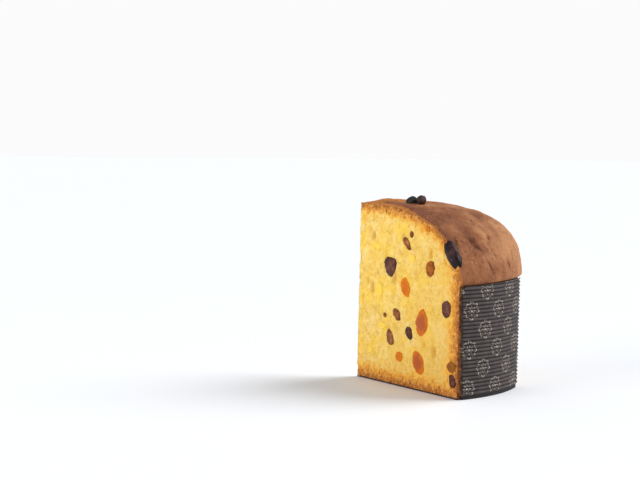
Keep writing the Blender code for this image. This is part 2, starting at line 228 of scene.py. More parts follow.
columns = []
column_reliefs = []
for step in range(ROUND_STEPS + 1):
    column, relief = bread_column(SLICE_ANGLE * step / ROUND_STEPS)
    columns.append(column)
    column_reliefs.append(relief)
column_length = len(columns[0])
up_steps = column_length - 1 - ACROSS_STEPS

# The loaf's points: its top, its foot, the crust, the cake's axis, the floor and both cuts
points = [columns[0][0], Vector((0.0, 0.0, BREAD_FLOOR))]
reliefs = [column_reliefs[0][0], (0.0, 0.0)]
TOP, FOOT = 0, 1
crust_index = np.zeros((ROUND_STEPS + 1, column_length), dtype=int)
for turn in range(ROUND_STEPS + 1):
    for row in range(1, column_length):
        crust_index[turn, row] = len(points)
        points.append(columns[turn][row])
        reliefs.append(column_reliefs[turn][row])
axis_index = np.zeros(up_steps + 1, dtype=int)
axis_index[0], axis_index[up_steps] = FOOT, TOP
for row in range(1, up_steps):
    axis_index[row] = len(points)
    points.append(points[FOOT].lerp(points[TOP], row / up_steps))
floor_index = np.zeros((ROUND_STEPS + 1, ACROSS_STEPS + 1), dtype=int)
for turn in range(ROUND_STEPS + 1):
    floor_index[turn, 0] = FOOT
    floor_index[turn, ACROSS_STEPS] = crust_index[turn, column_length - 1]
    for row in range(1, ACROSS_STEPS):
        floor_index[turn, row] = len(points)
        points.append(points[FOOT].lerp(columns[turn][-1], row / ACROSS_STEPS))

# Each cut is a grid of points blended between its four edges
grids = []
for turn in (0, ROUND_STEPS):
    grid = np.zeros((ACROSS_STEPS + 1, up_steps + 1), dtype=int)
    grid[0, :] = axis_index
    grid[:, 0] = floor_index[turn]
    for across in range(1, ACROSS_STEPS + 1):
        grid[across, up_steps] = crust_index[turn, across]
    for up in range(up_steps + 1):
        grid[ACROSS_STEPS, up] = crust_index[turn, column_length - 1 - up]
    corner = [points[grid[a, b]] for a, b in ((0, 0), (-1, 0), (0, -1), (-1, -1))]
    for across in range(1, ACROSS_STEPS):
        u = across / ACROSS_STEPS
        for up in range(1, up_steps):
            v = up / up_steps
            filled = (1.0 - v) * points[grid[across, 0]] + v * points[grid[across, up_steps]]
            filled += (1.0 - u) * points[grid[0, up]] + u * points[grid[ACROSS_STEPS, up]]
            filled -= (1.0 - u) * ((1.0 - v) * corner[0] + v * corner[2])
            filled -= u * ((1.0 - v) * corner[1] + v * corner[3])
            grid[across, up] = len(points)
            points.append(filled)
    grids.append(grid)
reliefs += [(0.0, 0.0)] * (len(points) - len(reliefs))

# Each whole raisin has pressed a hollow into the crust, so the skin never cuts through it
HOLLOW_DEPTH = 3.0 * MM
HOLLOW_REACH = 1.12
HOLLOW_SLOPE = 0.34
HOLLOW_WIDTH = 4.4 * MM
# The crust sinks towards the cake's axis, at this depth behind the shown cut and this height
SINK_BEHIND = 12.0 * MM
SINK_HEIGHT = 40.0 * MM
hollows = []
WHOLE_RAISINS = ("raisin_rim", "raisin_top_left", "raisin_top_right")
for node in WHOLE_RAISINS:
    low, high = (corner - CAKE_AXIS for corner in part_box(node))
    hollows.append((0.5 * (low + high), 0.5 * (high - low)))
for number, point in enumerate(points):
    for middle, half in hollows:
        offset = point - middle
        away = math.hypot(offset.x / half.x, offset.y / half.y, offset.z / half.z)
        if away < HOLLOW_REACH:
            inwards = Vector((-middle.x, SINK_BEHIND - point.y, SINK_HEIGHT - point.z))
            inwards.normalize()
            pressed = min((HOLLOW_REACH - away) / HOLLOW_SLOPE, 1.0)
            if middle.y < HOLLOW_WIDTH:
                pressed *= min(max((HOLLOW_WIDTH - point.y) / (0.5 * HOLLOW_WIDTH), 0.0), 1.0)
            points[number] = point + inwards * HOLLOW_DEPTH * pressed * pressed

faces = []
for turn in range(ROUND_STEPS):
    near, far = crust_index[turn], crust_index[turn + 1]
    faces.append((TOP, near[1], far[1]))
    faces += [(near[r], near[r + 1], far[r + 1], far[r]) for r in range(1, column_length - 1)]
    near, far = floor_index[turn], floor_index[turn + 1]
    faces.append((FOOT, far[1], near[1]))
    faces += [(near[r], far[r], far[r + 1], near[r + 1]) for r in range(1, ACROSS_STEPS)]
crust_faces = len(faces)
for side, grid in enumerate(grids):
    for across in range(ACROSS_STEPS):
        for up in range(up_steps):
            ring = [grid[across, up], grid[across + 1, up]]
            ring += [grid[across + 1, up + 1], grid[across, up + 1]]
            ring = list(dict.fromkeys(ring))
            faces.append(ring if side == 0 else ring[::-1])
loaf_mesh = bpy.data.meshes.new("bread")
loaf_mesh.from_pydata([point + CAKE_AXIS for point in points], [], faces)

# How near each point of a cut lies to the crust above it, beside it and under it. The crumb
# browns slowly towards the wall and the foot, and its pores fade out just before the crust.
WALL_SHADE, FOOT_SHADE, CORNER_SHADE = (1.15, 58.0 * MM), (0.8, 16.0 * MM), (0.9, 26.0 * MM)
PLAIN_EDGE = 1.6 * MM
places = np.array(points)
nearness = np.ones(len(points))
inside = np.zeros(len(points))
outer = np.zeros(len(points))
for turn, grid in zip((0, ROUND_STEPS), grids):
    members = grid[1:-1, 1:-1].ravel()
    members = np.concatenate([members, axis_index[1:-1]])
    flat = np.stack([np.hypot(places[members, 0], places[members, 1]), places[members, 2]], 1)
    outline = np.array([(math.hypot(p.x, p.y), p.z) for p in columns[turn]])
    dome = outline[: ACROSS_STEPS + DOME_STEPS // 2]
    wall = outline[ACROSS_STEPS + DOME_STEPS // 2 :]
    to_dome = np.sqrt(((flat[:, None] - dome[None]) ** 2).sum(2)).min(1)
    to_wall = np.sqrt(((flat[:, None] - wall[None]) ** 2).sum(2)).min(1)
    to_foot = flat[:, 1] - BREAD_FLOOR
    baked = np.zeros(len(members))
    for distance, (reach, most) in zip((to_dome, to_wall, to_foot), CRUST_BLEND):
        baked = np.maximum(baked, most * np.exp(-((distance / reach) ** 1.15)))
    nearness[members] = baked
    for away, (most, reach) in (
        (to_wall, WALL_SHADE), (to_foot, FOOT_SHADE), (to_wall + to_foot, CORNER_SHADE),
    ):
        outer[members] += most * np.exp(-away / reach)
    edge = np.minimum(np.minimum(to_dome, to_wall), to_foot)
    inside[members] = np.clip(edge / PLAIN_EDGE, 0.0, 1.0)

# Syrup has soaked into the crumb round each piece of candied peel and citron
soaked = np.zeros(len(points))
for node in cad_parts:
    if node.rsplit("_", 1)[0] not in ("peel_front", "citron_front", "peel_back", "citron_back"):
        continue
    low, high = (corner - CAKE_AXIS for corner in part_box(node))
    middle = 0.5 * (low + high)
    half = 0.5 * (high - low)
    reach = math.hypot(half.x, half.y) if "back" in node else half.x
    away = np.hypot(
        np.hypot(places[:, 0] - middle.x, places[:, 1] - middle.y) / reach,
        (places[:, 2] - middle.z) / half.z,
    )
    soaked = np.maximum(soaked, np.exp(-np.clip(away - 0.9, 0.0, None) * 2.2))
soaked *= inside

# The wall that baked against the paper is browner than the open crust, and the crust is
# palest over its shoulder, away from the top that stood nearest the oven's heat. It is also
# painted lighter towards the back cut and darker by the front cut, as painted light and shade
# from the key light on the camera's right. The knife has torn a golden edge along each cut,
# widest at the cake's middle.
SHOULDER_AT, SHOULDER_SPREAD = 0.89, 0.20
EDGE_WIDTH, EDGE_WIDER, EDGE_REACH = 1.0 * MM, 6.0 * MM, 46.0 * MM
walled = np.zeros(len(points))
walled[crust_index[:, -WALL_STEPS:].ravel()] = 1.0
pale = np.zeros(len(points))
torn_edge = np.zeros(len(points))
for turn in range(ROUND_STEPS + 1):
    for row in range(1, column_length - WALL_STEPS):
        spread = min(turn, ROUND_STEPS - turn) / ROUND_STEPS * SLICE_ANGLE
        radius = math.hypot(columns[turn][row].x, columns[turn][row].y)
        width = EDGE_WIDTH + EDGE_WIDER * math.exp(-((radius / EDGE_REACH) ** 4))
        torn_edge[crust_index[turn, row]] = math.exp(-((radius * spread / width) ** 1.6))
        down = min(row / (ACROSS_STEPS + DOME_STEPS), 1.0)
        over = math.exp(-(((down - SHOULDER_AT) / SHOULDER_SPREAD) ** 2))
        # Painted light and shade: lighter towards the back cut, which faces the key light, darker
        # by the front cut
        far = max(turn / ROUND_STEPS - 0.55, 0.0) / 0.45
        near = math.exp(-((turn / (0.3 * ROUND_STEPS)) ** 2)) * (1.0 - over)
        pale[crust_index[turn, row]] = 0.50 * turn / ROUND_STEPS + 0.36 * far + 0.40 * over
        pale[crust_index[turn, row]] -= 0.30 * near

# The values above ride on the mesh as attributes, for the materials and the pores
for name, values in (
    ("baked", nearness), ("inside", inside), ("syrup", soaked), ("walled", walled),
    ("relief", np.array(reliefs)[:, 0]), ("dark", np.array(reliefs)[:, 1]), ("pale", pale),
    ("outer", outer), ("cut_edge", torn_edge),
):
    layer = loaf_mesh.attributes.new(name, "FLOAT", "POINT")
    layer.data.foreach_set("value", values.astype(np.float32))
cut_layer = loaf_mesh.attributes.new("cut", "BOOLEAN", "FACE")
cut_layer.data.foreach_set("value", [number >= crust_faces for number in range(len(faces))])
loaf_mesh.shade_smooth()


def add_node(tree, kind, inputs=(), **settings):
    """Add a node, set its own settings, then fill its inputs with values or other sockets."""
    node = tree.nodes.new(kind)
    for name, value in settings.items():
        setattr(node, name, value)
    for name, value in dict(inputs).items():
        if isinstance(value, bpy.types.NodeSocket):
            tree.links.new(value, node.inputs[name])
        else:
            node.inputs[name].default_value = value
    return node


def sum_of(tree, operation, first, second=0.0, third=0.0):
    """The result of one Math node."""
    inputs = {0: first, 1: second, 2: third}
    return add_node(tree, "ShaderNodeMath", inputs, operation=operation).outputs[0]


def smooth_step(tree, value, low, high):
    """A value that runs smoothly from 0 at low to 1 at high."""
    node = add_node(
        tree, "ShaderNodeMapRange", {"Value": value, "From Min": low, "From Max": high},
        interpolation_type="SMOOTHSTEP",
    )
    return node.outputs["Result"]


def geometry_tree(name, mesh_name, values):
    """A new geometry tree that takes and gives a mesh, with a named input for each value."""
    made = bpy.data.node_groups.new(name, "GeometryNodeTree")
    made.interface.new_socket(mesh_name, in_out="INPUT", socket_type="NodeSocketGeometry")
    for value_name in values:
        made.interface.new_socket(value_name, in_out="INPUT", socket_type="NodeSocketFloat")
    made.interface.new_socket(mesh_name, in_out="OUTPUT", socket_type="NodeSocketGeometry")
    return made, made.nodes.new("NodeGroupInput").outputs


def grow(thing, tree, values):
    """Put a geometry tree on an object, with values for its named inputs."""
    modifier = thing.modifiers.new(tree.name, "NODES")
    modifier.node_group = tree
    for item in tree.interface.items_tree:
        if item.in_out == "INPUT" and item.name in values:
            modifier[item.identifier] = values[item.name]


def settle(thing):
    """Turn an object with modifiers into a plain mesh, and take the modifiers off."""
    bpy.context.view_layer.update()
    evaluated = thing.evaluated_get(bpy.context.evaluated_depsgraph_get())
    made = bpy.data.meshes.new_from_object(evaluated)
    thing.modifiers.clear()
    made.name = thing.name
    thing.data = made


def principled(name, **values):
    """A new material with its shader's own sockets set, its tree and its shader."""
    made = bpy.data.materials.new(name)
    made.use_nodes = True
    shader = made.node_tree.nodes["Principled BSDF"]
    for socket, value in values.items():
        shader.inputs[socket.replace("_", " ")].default_value = value
    return made, made.node_tree, shader


def noise_of(tree, vector, scale, detail=3.0, roughness=0.5, distortion=0.0):
    """The grey value of a noise with lumps about 1/scale metres apart."""
    node = add_node(
        tree, "ShaderNodeTexNoise",
        {"Vector": vector, "Scale": scale, "Detail": detail, "Roughness": roughness,
         "Distortion": distortion},
    )
    return node.outputs[0]


def colours(tree, value, stops):
    """A colour ramp through the given places and linear colours."""
    node = add_node(tree, "ShaderNodeValToRGB", {"Fac": value})
    while len(node.color_ramp.elements) < len(stops):
        node.color_ramp.elements.new(0.5)
    for element, (place, colour) in zip(node.color_ramp.elements, stops):
        element.position = place
        element.color = (*colour, 1.0)
    return node.outputs["Color"]


def mixed(tree, share, first, second):
    """Two colours mixed by a share."""
    node = add_node(tree, "ShaderNodeMix", {0: share}, data_type="RGBA")
    for socket, value in ((6, first), (7, second)):
        if isinstance(value, bpy.types.NodeSocket):
            tree.links.new(value, node.inputs[socket])
        else:
            node.inputs[socket].default_value = (*value, 1.0)
    return node.outputs[2]


def laid_over(tree, under, share, strength, over):
    """A colour laid over another by a share, at some strength."""
    return mixed(tree, sum_of(tree, "MULTIPLY", share, strength), under, over)


def attribute(tree, name, output="Fac"):
    """A value that the mesh itself carries."""
    return add_node(tree, "ShaderNodeAttribute", attribute_name=name).outputs[output]


def bump(tree, shader, height, distance):
    """Fine relief that is too small for the mesh."""
    node = add_node(tree, "ShaderNodeBump", {"Height": height, "Distance": distance})
    tree.links.new(node.outputs["Normal"], shader.inputs["Normal"])


# Crumb: yellow, mottled, golden where it nears the crust
crumb, tree, shader = principled(
    "crumb", Roughness=0.85, Subsurface_Weight=0.12, Subsurface_Scale=0.003,
    Specular_IOR_Level=0.15,
)
shader.inputs["Subsurface Radius"].default_value = (1.0, 0.6, 0.25)
place = add_node(tree, "ShaderNodeTexCoord").outputs["Object"]
mottle = noise_of(tree, place, 150.0, 6.0, 0.72)
crumb_colour = colours(tree, mottle, (
    (0.32, (0.77, 0.45, 0.075)), (0.46, (0.88, 0.58, 0.12)), (0.58, (0.93, 0.67, 0.18)),
    (0.76, (0.95, 0.76, 0.33)),
))
# Yolky patches, creamy ones, the browner outer crumb, syrup, painted shade in the pores and small
# dark specks
patches = smooth_step(tree, noise_of(tree, place, 62.0, 4.0, 0.6), 0.45, 0.60)
cream = smooth_step(tree, noise_of(tree, place, 105.0, 4.0, 0.65, 0.8), 0.50, 0.62)
specks = smooth_step(tree, noise_of(tree, place, 560.0, 3.0, 0.7), 0.56, 0.68)
for share, strength, over in (
    (patches, 0.6, (0.97, 0.65, 0.065)), (cream, 0.6, (0.98, 0.76, 0.31)),
    (attribute(tree, "outer"), 0.5, (0.72, 0.44, 0.115)),
    (attribute(tree, "syrup"), 0.4, (0.92, 0.50, 0.04)),
    # The pores are darkened by painted shade, most where they are pressed deepest
    (attribute(tree, "pore"), 0.9, (0.62, 0.31, 0.045)), (specks, 0.5, (0.47, 0.24, 0.040)),
):
    crumb_colour = laid_over(tree, crumb_colour, share, strength, over)
# The toasted band by the crust, with a ragged edge, burnt specks and loose pale crumbs
ragged = sum_of(tree, "SUBTRACT", noise_of(tree, place, 240.0, 4.0, 0.7), 0.5)
baked = attribute(tree, "baked")
toasted = sum_of(tree, "MULTIPLY_ADD", ragged, 1.15, baked)
toast_colour = colours(tree, toasted, (
    (0.10, (0.90, 0.52, 0.08)), (0.34, (0.76, 0.34, 0.045)), (0.62, (0.50, 0.175, 0.028)),
    (0.96, (0.33, 0.110, 0.026)),
))
toast_share = smooth_step(tree, toasted, 0.05, 0.32)
crumb_colour = mixed(tree, toast_share, crumb_colour, toast_colour)
burnt = smooth_step(tree, noise_of(tree, place, 430.0, 3.0, 0.7), 0.53, 0.63)
burnt = sum_of(tree, "MULTIPLY", burnt, smooth_step(tree, baked, 0.12, 0.5))
crumb_colour = laid_over(tree, crumb_colour, burnt, 0.8, (0.14, 0.040, 0.013))
loose = smooth_step(tree, noise_of(tree, place, 500.0, 4.0, 0.75), 0.50, 0.62)
loose = sum_of(tree, "MULTIPLY", loose, smooth_step(tree, baked, 0.15, 0.45))
crumb_colour = laid_over(tree, crumb_colour, loose, 0.55, (0.92, 0.50, 0.13))
tree.links.new(crumb_colour, shader.inputs["Base Color"])
bump(tree, shader, noise_of(tree, place, 900.0, 3.0, 0.6), 0.0003)

# Crust: brown skin, lighter over its shoulder, with painted light on its swells and painted shade
# in its hollows
crust, tree, shader = principled("crust", Roughness=0.68, Specular_IOR_Level=0.22)
place = add_node(tree, "ShaderNodeTexCoord").outputs["Object"]
cloud = noise_of(tree, place, 60.0, 6.0, 0.66)
level = sum_of(tree, "MULTIPLY_ADD", cloud, 0.88, 0.094)
# Painted light and shade: the crust is painted lighter where it stands out and darker where it
# sinks
level = sum_of(tree, "MULTIPLY_ADD", attribute(tree, "relief"), 0.10, level)
# The pale attribute holds the shoulder's paleness and painted light towards the back cut
level = sum_of(tree, "MULTIPLY_ADD", attribute(tree, "pale"), 0.36, level)
level = sum_of(tree, "SUBTRACT", level, 0.03)
crust_colour = colours(tree, level, (
    (0.30, (0.140, 0.037, 0.012)), (0.48, (0.235, 0.070, 0.023)), (0.64, (0.370, 0.132, 0.047)),
    (0.86, (0.600, 0.272, 0.113)),
))
# Creases that run down the side, where the dough rose over the case's rim, darkened with
# painted shade
drawn_down = add_node(
    tree, "ShaderNodeVectorMath", {0: place, 1: (1.0, 1.0, 0.22)}, operation="MULTIPLY"
).outputs[0]
crease = smooth_step(tree, noise_of(tree, drawn_down, 430.0, 2.0, 0.5), 0.56, 0.72)
crease = sum_of(
    tree, "MULTIPLY", crease, smooth_step(tree, noise_of(tree, place, 48.0, 2.0), 0.44, 0.60)
)
# Painted shade darkens the creases
crust_colour = laid_over(tree, crust_colour, crease, 0.42, (0.16, 0.048, 0.020))
# Dark freckles, pale flecks painted as highlights, the golden torn edge by each cut, and painted
# shade in the marks' hollows, creases and splits
freckle = smooth_step(tree, noise_of(tree, place, 420.0, 4.0, 0.75), 0.56, 0.70)
highlight_fleck = smooth_step(tree, noise_of(tree, place, 520.0, 3.0, 0.7), 0.60, 0.70)
tatter = sum_of(tree, "SUBTRACT", noise_of(tree, place, 260.0, 4.0, 0.7), 0.52)
fringe = sum_of(tree, "MULTIPLY_ADD", tatter, 1.6, attribute(tree, "cut_edge"))
for share, strength, over in (
    # The pale flecks are painted highlights
    (freckle, 0.45, (0.15, 0.045, 0.020)), (highlight_fleck, 0.45, (0.66, 0.36, 0.20)),
    (smooth_step(tree, fringe, 0.20, 0.75), 0.9, (0.62, 0.215, 0.028)),
    # Painted shade in the crust marks' hollows, creases and splits
    (attribute(tree, "dark"), 0.85, (0.105, 0.030, 0.013)),
):
    crust_colour = laid_over(tree, crust_colour, share, strength, over)
# The wall under the paper, mottled where the paper pulled at it
stuck = colours(tree, noise_of(tree, place, 300.0, 5.0, 0.75), (
    (0.38, (0.120, 0.034, 0.013)), (0.50, (0.300, 0.098, 0.028)), (0.62, (0.580, 0.235, 0.055)),
))
crust_colour = mixed(tree, attribute(tree, "walled"), crust_colour, stuck)
tree.links.new(crust_colour, shader.inputs["Base Color"])
skin = noise_of(tree, place, 380.0, 6.0, 0.7)
bump(tree, shader, sum_of(tree, "MULTIPLY_ADD", crease, -0.5, skin), 0.0021)

# Pores: rounded holes and a finer grain, pressed into the cuts and nowhere else
pore_inputs = {
    "Hole spacing": 4.6 * MM, "Hole depth": 1.1 * MM, "Grain spacing": 1.9 * MM,
    "Grain depth": 0.5 * MM, "Seed": 4.0,
}
pores, given = geometry_tree("crumb pores", "Loaf", pore_inputs)
where = add_node(pores, "GeometryNodeInputPosition").outputs[0]
inner = add_node(
    pores, "GeometryNodeInputNamedAttribute", {"Name": "inside"}, data_type="FLOAT"
).outputs["Attribute"]
warp = add_node(
    pores, "ShaderNodeTexNoise", {"Vector": where, "Scale": 260.0, "Detail": 2.0}
).outputs["Color"]
warp = add_node(pores, "ShaderNodeVectorMath", {0: warp, "Scale": 0.0022}, operation="SCALE")
where = add_node(pores, "ShaderNodeVectorMath", {0: where, 1: warp.outputs[0]}).outputs[0]
pressed = None
for spacing, depth, shape, fewest in (
    ("Hole spacing", "Hole depth", (1.0, 1.0, 0.62), 0.72),
    ("Grain spacing", "Grain depth", (1.0, 1.0, 0.75), 0.35),
):
    stretched = add_node(
        pores, "ShaderNodeVectorMath", {0: where, 1: shape}, operation="MULTIPLY"
    ).outputs[0]
    cells = add_node(
        pores, "ShaderNodeTexVoronoi",
        {"Vector": stretched, "W": given["Seed"],
         "Scale": sum_of(pores, "DIVIDE", 1.0, given[spacing])},
        voronoi_dimensions="4D",
    )
    drawn = add_node(pores, "ShaderNodeSeparateXYZ", {0: cells.outputs["Color"]}).outputs
    open_cell = smooth_step(pores, drawn["X"], fewest, fewest + 0.2)
    size = sum_of(pores, "MULTIPLY_ADD", drawn["Y"], 0.22, 0.20)
    hollow = smooth_step(pores, cells.outputs["Distance"], sum_of(pores, "MULTIPLY", size, 2.1),
                         sum_of(pores, "MULTIPLY", size, 0.5))
    hollow = sum_of(pores, "MULTIPLY", hollow, open_cell)
    sunk = sum_of(pores, "MULTIPLY", hollow, given[depth])
    pressed = sunk if pressed is None else sum_of(pores, "MAXIMUM", pressed, sunk)
grain = add_node(
    pores, "ShaderNodeTexNoise", {"Vector": where, "Scale": 420.0, "Detail": 3.0}
).outputs[0]
pressed = sum_of(pores, "MULTIPLY", pressed, inner)
near_crust = add_node(
    pores, "GeometryNodeInputNamedAttribute", {"Name": "baked"}, data_type="FLOAT"
).outputs["Attribute"]
rough = sum_of(pores, "MULTIPLY", sum_of(pores, "SUBTRACT", grain, 0.5), 0.0009)
rough = sum_of(pores, "MULTIPLY", rough, sum_of(pores, "MULTIPLY_ADD", near_crust, 1.8, 1.0))
moved = sum_of(pores, "SUBTRACT", sum_of(pores, "MULTIPLY", rough, inner), pressed)
offset = add_node(
    pores, "ShaderNodeVectorMath",
    {0: add_node(pores, "GeometryNodeInputNormal").outputs[0], "Scale": moved}, operation="SCALE",
).outputs[0]
stored = add_node(
    pores, "GeometryNodeStoreNamedAttribute",
    {"Geometry": given["Loaf"], "Name": "pore",
     "Value": sum_of(pores, "DIVIDE", pressed, given["Hole depth"])},
    data_type="FLOAT", domain="POINT",
)
shaped = add_node(
    pores, "GeometryNodeSetPosition", {"Geometry": stored.outputs[0], "Offset": offset}
)
real = add_node(pores, "GeometryNodeRealizeInstances", {0: shaped.outputs[0]})
skinned = add_node(
    pores, "GeometryNodeSetMaterial", {"Geometry": real.outputs[0], "Material": crust}
)
cut_face = add_node(
    pores, "GeometryNodeInputNamedAttribute", {"Name": "cut"}, data_type="BOOLEAN"
).outputs["Attribute"]
crumbed = add_node(
    pores, "GeometryNodeSetMaterial",
    {"Geometry": skinned.outputs[0], "Material": crumb, "Selection": cut_face},
)
pores.links.new(crumbed.outputs[0], pores.nodes.new("NodeGroupOutput").inputs[0])

loaf = bpy.data.objects.new("loaf", loaf_mesh)
bpy.context.scene.collection.objects.link(loaf)
grow(loaf, pores, pore_inputs)
settle(loaf)
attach(loaf, "root")
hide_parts("bread")


# Paper wall of the case
# Dark brown baking paper: a fluted sheet glued on a flat liner, with a pressed hem at its foot
# and a pale printed rosette repeated over it. It is torn off a little behind each cut.
FLUTE_COUNT = 28
HEM_HEIGHT = 2.4 * MM
PAPER_THICKNESS = 0.32 * MM
WALL_INNER = 103.0 * MM
wall_inputs = {
    "Radius": CASE_RADIUS, "Slice angle": SLICE_ANGLE, "Front height": CASE_HEIGHTS[0],
    "Back height": CASE_HEIGHTS[1], "Flute pitch": (CASE_HEIGHTS[0] - HEM_HEIGHT) / FLUTE_COUNT,
    "Flute depth": 0.95 * MM, "Hem height": HEM_HEIGHT, "Front tear top": 1.0 * MM,
    "Front tear foot": 3.2 * MM, "Back tear top": 1.2 * MM, "Back tear foot": 1.8 * MM,
    "Corner round": 2.6 * MM, "Sway": 0.22 * MM, "Columns": 96.0, "Rows": 233.0, "Seed": 3.0,
}
wall_tree, given = geometry_tree("fluted paper", "Sheet", wall_inputs)
count = {}
for name in ("Columns", "Rows"):
    count[name] = add_node(wall_tree, "FunctionNodeFloatToInt", {0: given[name]}).outputs[0]
sheet = add_node(
    wall_tree, "GeometryNodeMeshGrid",
    {"Size X": 1.0, "Size Y": 1.0, "Vertices X": count["Columns"], "Vertices Y": count["Rows"]},
)
spot = add_node(
    wall_tree, "ShaderNodeSeparateXYZ",
    {0: add_node(wall_tree, "GeometryNodeInputPosition").outputs[0]},
).outputs
share = sum_of(wall_tree, "ADD", spot["X"], 0.5)
up = sum_of(wall_tree, "ADD", spot["Y"], 0.5)


def between(tree, first, second, share):
    """Two values mixed by a share, in a geometry or material tree."""
    return sum_of(tree, "MULTIPLY_ADD", sum_of(tree, "SUBTRACT", second, first), share, first)


corner = sum_of(
    wall_tree, "MULTIPLY_ADD", sum_of(wall_tree, "SUBTRACT", up, 1.0),
    sum_of(wall_tree, "DIVIDE", given["Front height"], given["Corner round"]), 1.0,
)
corner = sum_of(wall_tree, "POWER", sum_of(wall_tree, "MAXIMUM", corner, 0.0), 2.2)
torn = between(wall_tree, given["Front tear foot"], given["Front tear top"], up)
torn = sum_of(wall_tree, "MULTIPLY_ADD", corner, given["Corner round"], torn)
front = sum_of(wall_tree, "DIVIDE", torn, given["Radius"])
back = sum_of(
    wall_tree, "SUBTRACT", given["Slice angle"],
    sum_of(
        wall_tree, "DIVIDE",
        between(wall_tree, given["Back tear foot"], given["Back tear top"], up), given["Radius"],
    ),
)
angle = between(wall_tree, front, back, share)
top = between(wall_tree, given["Front height"], given["Back height"], share)
ragged = add_node(
    wall_tree, "ShaderNodeTexNoise",
    {"Vector": add_node(wall_tree, "ShaderNodeCombineXYZ", {0: share, 2: given["Seed"]}).outputs[0],
     "Scale": 9.0, "Detail": 3.0},
).outputs[0]
ragged = sum_of(wall_tree, "MULTIPLY", sum_of(wall_tree, "SUBTRACT", ragged, 0.55), 0.0012)
height = sum_of(wall_tree, "MULTIPLY", up, sum_of(wall_tree, "ADD", top, ragged))
flute = sum_of(
    wall_tree, "DIVIDE", sum_of(wall_tree, "SUBTRACT", height, given["Hem height"]),
    given["Flute pitch"],
)
crest = sum_of(wall_tree, "ABSOLUTE", sum_of(wall_tree, "SINE", sum_of(
    wall_tree, "MULTIPLY", flute, math.pi)))
crest = sum_of(wall_tree, "POWER", crest, 0.75)
crest = sum_of(wall_tree, "MULTIPLY", crest, sum_of(wall_tree, "GREATER_THAN", flute, 0.0))
sway = add_node(
    wall_tree, "ShaderNodeTexNoise",
    {"Vector": add_node(
        wall_tree, "ShaderNodeCombineXYZ",
        {0: sum_of(wall_tree, "MULTIPLY", share, 3.0), 1: up, 2: given["Seed"]}).outputs[0],
     "Scale": 2.6, "Detail": 2.0},
).outputs[0]
valley = sum_of(wall_tree, "SUBTRACT", 1.0, crest)
drop = sum_of(wall_tree, "MULTIPLY", valley, given["Flute depth"])
drop = sum_of(wall_tree, "MULTIPLY_ADD", sway, given["Sway"], drop)
reach = sum_of(wall_tree, "SUBTRACT", given["Radius"], drop)
bent = add_node(wall_tree, "ShaderNodeCombineXYZ", {
    0: sum_of(wall_tree, "MULTIPLY", reach, sum_of(wall_tree, "COSINE", angle)),
    1: sum_of(wall_tree, "MULTIPLY", reach, sum_of(wall_tree, "SINE", angle)),
    2: height,
}).outputs[0]
bent = add_node(wall_tree, "ShaderNodeVectorMath", {0: bent, 1: CAKE_AXIS}).outputs[0]
paper_place = add_node(wall_tree, "ShaderNodeCombineXYZ", {
    0: sum_of(wall_tree, "MULTIPLY", angle, given["Radius"]), 1: height, 2: crest,
}).outputs[0]
noted = add_node(
    wall_tree, "GeometryNodeStoreNamedAttribute",
    {"Geometry": sheet.outputs["Mesh"], "Name": "paper_place", "Value": paper_place},
    data_type="FLOAT_VECTOR", domain="POINT",
)
curved = add_node(
    wall_tree, "GeometryNodeSetPosition", {"Geometry": noted.outputs[0], "Position": bent}
)
shaded = add_node(wall_tree, "GeometryNodeSetShadeSmooth", {"Geometry": curved.outputs[0]})
real = add_node(wall_tree, "GeometryNodeRealizeInstances", {0: shaded.outputs[0]})

# Paper: painted shade darkens its valleys, so its crests show paler, and it is printed by each
# spot's place on the sheet.
# The print's measures are in millimetres: the rows' spacing, the top row's height, the spacing
# of rosettes along a row, the first one's place, and how far each row drifts back from the last.
ROW_RISE = 11.75
TOP_ROW = 65.2
ROSETTE_SPACING = 26.6
FIRST_ROSETTE = 22.5
ROW_DRIFT = 0.55
# Fluting has drawn the printed sheet together upwards, so each rosette is wider than high
ROSETTE_STRETCH = 1.12
paper, tree, shader = principled("printed paper", Roughness=0.7, Specular_IOR_Level=0.25)
sheet_place = add_node(
    tree, "ShaderNodeSeparateXYZ", {0: attribute(tree, "paper_place", "Vector")}
).outputs
along = sum_of(tree, "MULTIPLY", sheet_place["X"], 1000.0)
rise = sum_of(tree, "MULTIPLY", sheet_place["Y"], 1000.0)
row = sum_of(tree, "DIVIDE", sum_of(tree, "SUBTRACT", TOP_ROW, rise), ROW_RISE)
row = sum_of(tree, "ROUND", row)
off_rise = sum_of(tree, "SUBTRACT", rise, sum_of(tree, "MULTIPLY_ADD", row, -ROW_RISE, TOP_ROW))
odd = sum_of(tree, "FLOORED_MODULO", row, 2.0)
start = sum_of(tree, "MULTIPLY_ADD", odd, 0.5 * ROSETTE_SPACING, FIRST_ROSETTE)
start = sum_of(tree, "MULTIPLY_ADD", row, -ROW_DRIFT, start)
turns = sum_of(tree, "DIVIDE", sum_of(tree, "SUBTRACT", along, start), ROSETTE_SPACING)
off_along = sum_of(
    tree, "MULTIPLY", sum_of(tree, "SUBTRACT", turns, sum_of(tree, "ROUND", turns)),
    ROSETTE_SPACING / ROSETTE_STRETCH,
)


def length_of(tree, first, second):
    """The length of the way that two lengths at right angles make."""
    squared = sum_of(tree, "MULTIPLY", second, second)
    return sum_of(tree, "SQRT", sum_of(tree, "MULTIPLY_ADD", first, first, squared))


# Eight petals are one petal, repeated round the rosette's middle
radius = length_of(tree, off_along, off_rise)
petal_turn = math.pi / 4.0
bearing = sum_of(tree, "ADD", sum_of(tree, "ARCTAN2", off_rise, off_along), 0.5 * petal_turn)
bearing = sum_of(
    tree, "SUBTRACT", sum_of(tree, "FLOORED_MODULO", bearing, petal_turn), 0.5 * petal_turn
)
out_way = sum_of(tree, "MULTIPLY", radius, sum_of(tree, "COSINE", bearing))
side_way = sum_of(tree, "MULTIPLY", radius, sum_of(tree, "SINE", bearing))


